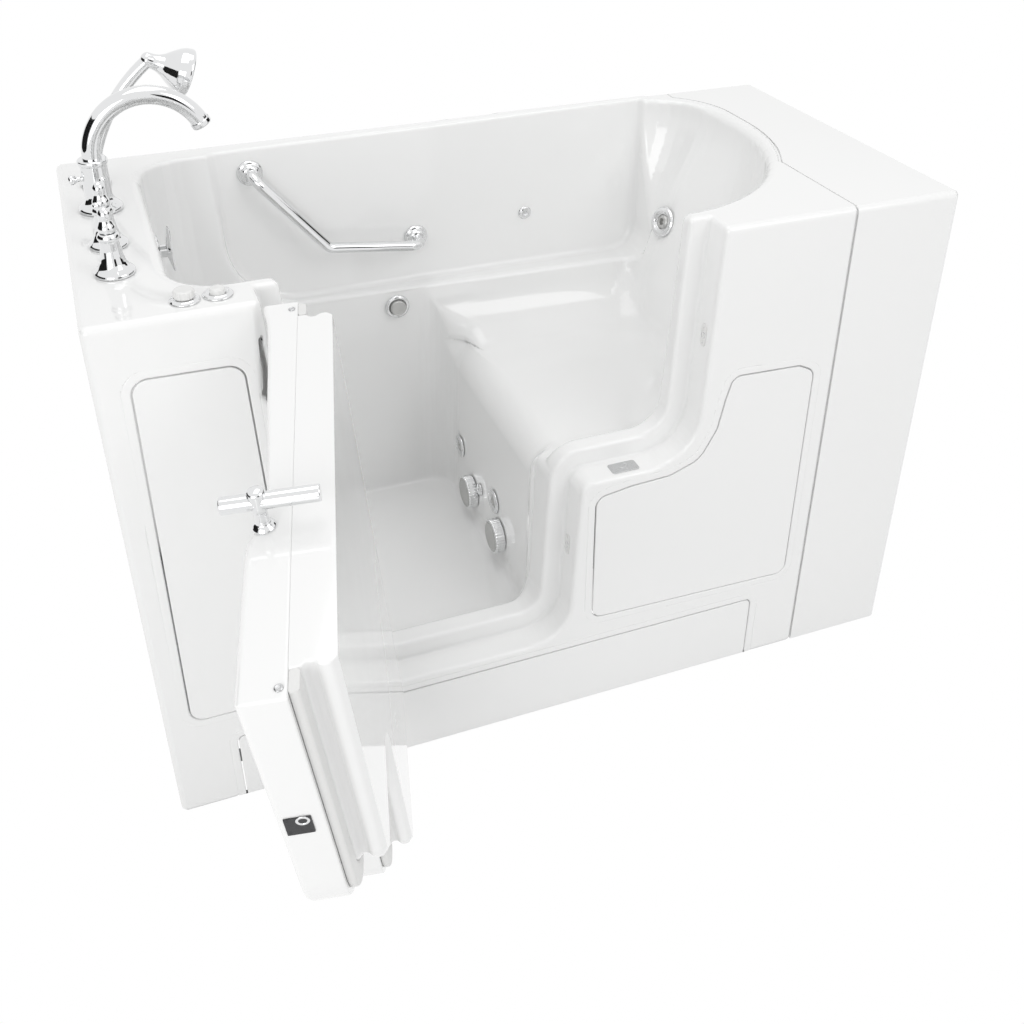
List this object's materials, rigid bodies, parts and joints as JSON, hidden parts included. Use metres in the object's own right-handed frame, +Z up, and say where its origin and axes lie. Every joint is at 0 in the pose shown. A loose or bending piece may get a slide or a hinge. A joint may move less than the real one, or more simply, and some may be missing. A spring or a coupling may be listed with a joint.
{
  "type": "walk-in bath",
  "caption": "White moulded walk-in bath with an outward-opening hinged door, raised seat, deck-mounted filler with levers and hand shower, grab bar and massage jets.",
  "frame": {"origin": "plan centre of the bath without its extension panel, on the floor under the middle levelling foot", "axes": "+X along the bath towards the seat end, +Y from the door side to the back, +Z up"},
  "size_m": [1.524, 1.4758, 1.2314],
  "materials": {
    "gelcoat": "smooth high-gloss white gelcoat",
    "chrome": "polished",
    "satin_nickel": "satin",
    "stainless": "brushed",
    "galvanised_steel": "galvanised, dull",
    "white_plastic": "smooth white",
    "black_plastic": "satin black",
    "grey_plastic": "matte grey",
    "pipe_white": "matte white",
    "pipe_red": "matte",
    "seal_rubber": "matte grey"
  },
  "bodies": {
    "bath": {"bath_shell": "gelcoat", "extension_panel": "gelcoat", "left_access_panel": "gelcoat", "right_access_panel": "gelcoat", "toe_kick_panel": "gelcoat", "base_frame": "galvanised_steel", "levelling_feet": "galvanised_steel", "drain_flange": "chrome", "waste_pipe": "grey_plastic", "overflow_cover": "satin_nickel", "drain_lever_plate": "chrome", "suction_covers": "satin_nickel", "jet_rings": "chrome", "air_jets": "chrome", "jet_pump": "black_plastic", "air_blower": "black_plastic", "jet_pipes": "pipe_white", "grab_bar": "chrome", "grab_bar_flanges": "chrome", "strike_plate": "stainless", "jamb_catches": "white_plastic", "hinge_frame_leaves": "stainless", "hinge_pins": "stainless", "spout": "chrome", "hot_valve": "chrome", "cold_valve": "chrome", "shower_cradle": "chrome", "control_flanges": "chrome", "supply_pipes": "pipe_red"},
    "door": {"hinge_door_leaves": "stainless", "door_outer_shell": "gelcoat", "door_inner_panel": "gelcoat", "door_seal": "seal_rubber", "seam_buttons": "stainless", "latch_plate": "black_plastic", "latch_case": "stainless"},
    "door_handle": {"latch_handle": "chrome"},
    "upper_bolt_rod": {"upper_bolt": "stainless"},
    "ledge_bolt_rod": {"ledge_bolt": "stainless"},
    "lower_bolt_rod": {"lower_bolt": "stainless"},
    "stopper": {"drain_stopper": "chrome"},
    "waste_lever": {"drain_lever": "chrome"},
    "upper_nozzle": {"upper_riser_nozzle": "satin_nickel"},
    "lower_nozzle": {"lower_riser_nozzle": "satin_nickel"},
    "headrest_nozzle": {"head_nozzle": "satin_nickel"},
    "diverter": {"diverter_knob": "chrome"},
    "hot_handle": {"hot_lever": "chrome"},
    "cold_handle": {"cold_lever": "chrome"},
    "shower_handset": {"hand_shower": "chrome"},
    "air_knob": {"air_control_knob": "white_plastic"},
    "blower_button": {"air_button": "white_plastic"}
  },
  "joints": [
    {"name": "door_hinge", "type": "hinge", "parent": "bath", "child": "door", "pos_m": [-0.3734, -0.3545, 1.003], "axis": [-0.0853, 0, 0.9964], "range_deg": [0, 103.75]},
    {"name": "door_handle_turn", "type": "hinge", "parent": "door", "child": "door_handle", "pos_m": [-0.48712, -0.84945, 0.98991], "axis": [-0.1052, -0.0829, 0.991], "range_deg": [0, 90]},
    {"name": "upper_bolt_slide", "type": "slide", "parent": "door", "child": "upper_bolt_rod", "axis": [-0.2287, -0.9678, -0.1052], "range_m": [0, 0.0121]},
    {"name": "ledge_bolt_slide", "type": "slide", "parent": "door", "child": "ledge_bolt_rod", "axis": [0.1052, 0.0829, -0.991], "range_m": [0, 0.0121]},
    {"name": "lower_bolt_slide", "type": "slide", "parent": "door", "child": "lower_bolt_rod", "axis": [-0.2287, -0.9678, -0.1052], "range_m": [0, 0.0121]},
    {"name": "waste_lever_turn", "type": "hinge", "parent": "bath", "child": "waste_lever", "pos_m": [-0.4876, 0.07, 0.92], "axis": [0, 1, 0], "range_deg": [0, 25]},
    {"name": "stopper_lift", "type": "slide", "parent": "bath", "child": "stopper", "axis": [0, 0, 1], "range_m": [0, 0.01]},
    {"name": "upper_nozzle_turn", "type": "hinge", "parent": "bath", "child": "upper_nozzle", "pos_m": [0.093, 0.212, 0.28], "axis": [-1, 0, 0], "range_deg": [0, 90]},
    {"name": "lower_nozzle_turn", "type": "hinge", "parent": "bath", "child": "lower_nozzle", "pos_m": [0.093, -0.015, 0.275], "axis": [-1, 0, 0], "range_deg": [0, 90]},
    {"name": "headrest_nozzle_turn", "type": "hinge", "parent": "bath", "child": "headrest_nozzle", "pos_m": [0.5974, 0.237, 0.7516], "axis": [-0.9249, -0.1966, 0.3256], "range_deg": [0, 90]},
    {"name": "diverter_pull", "type": "slide", "parent": "bath", "child": "diverter", "axis": [-1, 0, 0], "range_m": [0, 0.008]},
    {"name": "hot_handle_turn", "type": "hinge", "parent": "bath", "child": "hot_handle", "pos_m": [-0.586, -0.188, 1.0713], "axis": [0, 0, 1], "range_deg": [0, 90]},
    {"name": "cold_handle_turn", "type": "hinge", "parent": "bath", "child": "cold_handle", "pos_m": [-0.586, -0.073, 1.0713], "axis": [0, 0, -1], "range_deg": [0, 90]},
    {"name": "shower_handset_lift", "type": "slide", "parent": "bath", "child": "shower_handset", "axis": [0.342, 0, 0.9397], "range_m": [0, 0.08]},
    {"name": "air_knob_turn", "type": "hinge", "parent": "bath", "child": "air_knob", "pos_m": [-0.498, -0.325, 1.003], "axis": [0, 0, 1], "range_deg": [0, 270]},
    {"name": "blower_button_press", "type": "slide", "parent": "bath", "child": "blower_button", "axis": [0, 0, -1], "range_m": [0, 0.004], "stiffness_N_per_m": 500}
  ],
  "couplings": [
    {"joint": "upper_bolt_slide", "follows": "door_handle_turn", "m_per_rad": 0.0076394},
    {"joint": "ledge_bolt_slide", "follows": "door_handle_turn", "m_per_rad": 0.0076394},
    {"joint": "lower_bolt_slide", "follows": "door_handle_turn", "m_per_rad": 0.0076394}
  ]
}
